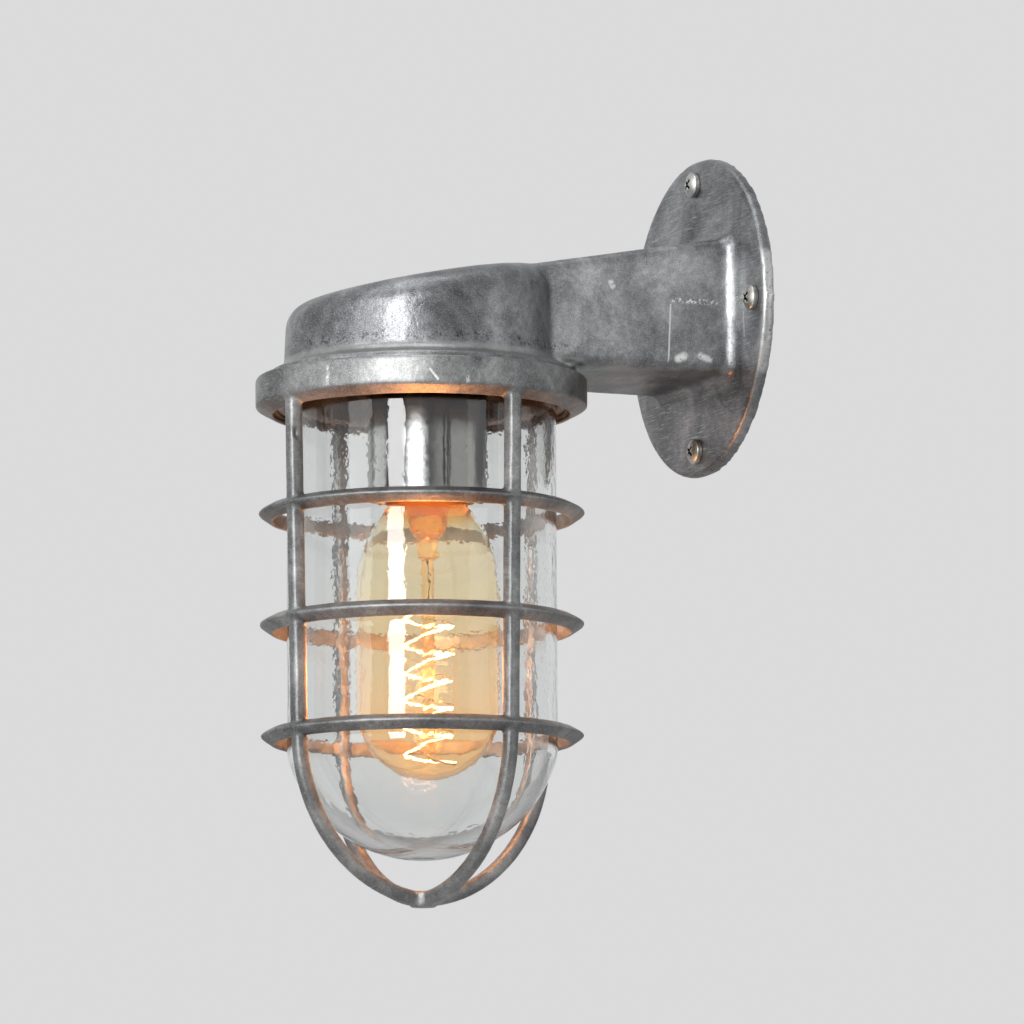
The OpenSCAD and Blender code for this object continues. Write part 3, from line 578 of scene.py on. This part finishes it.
# Soft insulation of the three wires: green-yellow, brown and blue, with a dull sheen
EARTH = plain_solid("earth_insulation", "6f8f35", "5d7a2a", 0.45)
LIVE = plain_solid("live_insulation", "7a4b2c", "623a20", 0.45)
NEUTRAL = plain_solid("neutral_insulation", "3d628f", "2f4f76", 0.45)
JAR = jar_glass()
AMBER = lamp_glass("amber_lamp_glass", [
    (-64, "f3ae4e"), (-68, "f7c87c"), (-71.5, "fef6e2"), (-100, "fdf4dc"), (-125, "fdf0d4"),
    (-151, "fce8c4")], [
    (-64, "4a2408"), (-71, "302a1c"), (-90, "30281a"), (-112, "3c2812"), (-130, "482b0c"),
    (-151, "4d3008")])
STEM = lamp_glass("amber_stem_glass", [(-64, "fbd592"), (-80, "fcd9a0"), (-150, "fdeccb")],
                  [(-64, "6a3c10"), (-82, "5c3a14"), (-90, "2c2010"), (-150, "3c2810")], 0.08)
GLOW = glowing_wire()

# The CAD pieces that are shown as they are
for node, finish in {
        "terminal_block": BLOCK, "terminal_sleeves": BRASS, "terminal_screws": ZINC,
        "terminal_fixing_screw": ZINC, "earth_screw": BRASS, "earth_lug": ZINC,
        "earth_wire": EARTH, "live_wire": LIVE, "neutral_wire": NEUTRAL, "holder_strap": ZINC,
        "strap_screws": ZINC, "holder_stem": BRASS, "stem_nut": ZINC, "holder_sleeve": BRIGHT,
        "holder_body": FIRED, "screw_shell": BRASS, "centre_contact": BRASS,
        "jar_gasket": RUBBER, "guard_gasket": RUBBER, "lamp_cap": CAP,
        "cap_insulator": BLACK_GLASS, "foot_contact": SOLDER, "lamp_mount": STEM,
        "lead_wires": LEAD, "filament_supports": LEAD, "filament": GLOW}.items():
    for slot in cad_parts[node].material_slots:
        slot.material = finish

# ---- castings and screw heads ----

housing = cast_skin("housing", "housing_casting", grid_mm=1.0, rounds=7, ripple_mm=0.1)
wear(housing, HOUSING, "fixture", "housing")
guard = cast_skin("guard_cage", "guard_casting", grid_mm=0.62, rounds=5, ripple_mm=0.12)
wear(guard, GUARD, "guard", "guard_cage")
heads = cast_skin("wall_screws", "screw_heads", grid_mm=0.2, rounds=2, ripple_mm=0.03)
wear(heads, PAN_HEAD, "fixture", "wall_screws")

# ---- glass jar: a dome of DOME_R, a tighter turn of TURN_R and a straight wall ----

FIRST_RING = -86       # degrees on the round end where both glasses start, next to their axis
JAR_LOW, JAR_TOP, JAR_R, JAR_WALL, DOME_R, TURN_R = -176.4, -25.4, 42.2, 3, 43.5, 9.0
dome_z = JAR_LOW + DOME_R
turn_r = JAR_R - TURN_R
turn_z = dome_z - math.sqrt((DOME_R - TURN_R) ** 2 - turn_r ** 2)
meet = -math.degrees(math.atan2(dome_z - turn_z, turn_r))
start = arc_ring(0, dome_z, DOME_R, FIRST_RING)
jar = turned("jar_glass", start,
             arc_steps(0, dome_z, DOME_R, FIRST_RING, meet, 22)
             + arc_steps(turn_r, turn_z, TURN_R, meet, 0, 6)
             + straight_steps(JAR_R, turn_z, JAR_TOP, 30), JAR_Y, 96)
glass_wall(jar, start[1], JAR_WALL)
wear(jar, JAR, "jar", "glass_jar")

# ---- lamp glass: a round end, a straight tube and a shoulder that rounds over to the cap ----

LAMP_LOW, LAMP_R, LAMP_WALL, NECK_R, CAP_LOW = -151.2, 22.5, 0.8, 12.3, -64.6
SHOULDER_TOP, SHOULDER_H, SHOULDER_POWER, SHOULDER_STEPS = CAP_LOW - 1, 30.0, 2.6, 24
tube_z = LAMP_LOW + LAMP_R
shoulder = []
for i in range(SHOULDER_STEPS + 1):
    k = i / SHOULDER_STEPS
    shoulder.append((LAMP_R - (LAMP_R - NECK_R) * k ** SHOULDER_POWER,
                     SHOULDER_TOP - SHOULDER_H * (1 - k)))
start = arc_ring(0, tube_z, LAMP_R, FIRST_RING)
bulb = turned("lamp_tube", start,
              arc_steps(0, tube_z, LAMP_R, FIRST_RING, 0, 18)
              + straight_steps(LAMP_R, tube_z, shoulder[0][1], 10)[:-1]
              + shoulder + [(NECK_R, CAP_LOW + 3)], HOLDER_Y, 80)
glass_wall(bulb, start[1], LAMP_WALL)
wear(bulb, AMBER, "lamp", "lamp_glass")

# ---- floor, light and camera ----

FLOOR_SIZE, FLOOR_Z = 12, -0.45
bpy.ops.mesh.primitive_plane_add(size=FLOOR_SIZE, location=(0, 0, FLOOR_Z))
floor = bpy.context.object
floor.name = "floor"
settle(floor)
floor.data.materials.append(paper_floor())

# The light from around is soft and grey; the backdrop that is seen, mirrored or refracted is paler
world = bpy.context.scene.world or bpy.data.worlds.new("studio")
bpy.context.scene.world = world
world.use_nodes = True
t = world.node_tree
t.nodes.clear()
rays = add(t, "ShaderNodeLightPath").outputs
seen = maths(t, "MAXIMUM", rays["Is Camera Ray"],
             maths(t, "MAXIMUM", rays["Is Glossy Ray"], rays["Is Transmission Ray"]))
soft = add(t, "ShaderNodeBackground", Color=linear("e8e8e8"), Strength=0.45)
backdrop = add(t, "ShaderNodeBackground", Color=linear("dbdbdc"), Strength=1.0)
mix = add(t, "ShaderNodeMixShader", i0=seen, i1=soft.outputs[0], i2=backdrop.outputs[0])
add(t, "ShaderNodeOutputWorld", Surface=mix.outputs[0])


def soft_box(name, at, size, power):
    """A rectangular light at a place, turned to face the middle of the light."""
    data = bpy.data.lights.new(name, "AREA")
    data.shape = "RECTANGLE"
    data.size, data.size_y = size
    data.energy = power
    box = bpy.data.objects.new(name, data)
    bpy.context.scene.collection.objects.link(box)
    box.location = at
    box.rotation_euler = (Vector(HEART) - Vector(at)).to_track_quat("-Z", "Y").to_euler()
    box.visible_transmission = False


HEART = (0, -0.07, -0.06)
soft_box("key_box", (1.30, -1.35, 0.35), (0.45, 0.9), 21)
soft_box("top_box", (0.2, -0.5, 1.5), (1.2, 1.2), 9)
soft_box("fill_box", (1.6, 0.9, 0.0), (1.0, 1.2), 3)
soft_box("left_box", (0.4, -1.7, 0.3), (0.62, 1.7), 8.5)

# The filament is too fine to light the hood without noise, so a small warm ball of light helps it
GLOW_Z = -118
glow = bpy.data.lights.new("filament_light", "POINT")
glow.energy = 0.26
glow.color = linear("ff9c4c")[:3]
glow.shadow_soft_size = 0.004
point = bpy.data.objects.new("filament_light", glow)
bpy.context.scene.collection.objects.link(point)
point.location = (0, HOLDER_Y * MM, GLOW_Z * MM)
point.visible_camera = point.visible_transmission = False

# The camera fitted to the photograph: its place, the direction away from the light, and its roll
EYE_AT, EYE_BACK, EYE_ROLL = (2.1845, -1.0059, -0.3955), (0.9102, -0.3907, -0.1375), -0.288
camera = bpy.data.cameras.new("camera")
camera.lens = 268.42
camera.sensor_width = 36
camera.clip_start, camera.clip_end = 0.05, 50
eye = bpy.data.objects.new("camera", camera)
bpy.context.scene.collection.objects.link(eye)
back = Vector(EYE_BACK).normalized()
right = RIGHT.normalized()
up = back.cross(right)
roll = math.radians(EYE_ROLL)
across = right * math.cos(roll) + up * math.sin(roll)
above = up * math.cos(roll) - right * math.sin(roll)
eye.matrix_world = Matrix((
    (across.x, above.x, back.x, EYE_AT[0]), (across.y, above.y, back.y, EYE_AT[1]),
    (across.z, above.z, back.z, EYE_AT[2]), (0, 0, 0, 1)))
bpy.context.scene.camera = eye
bpy.context.scene.view_settings.view_transform = "Standard"
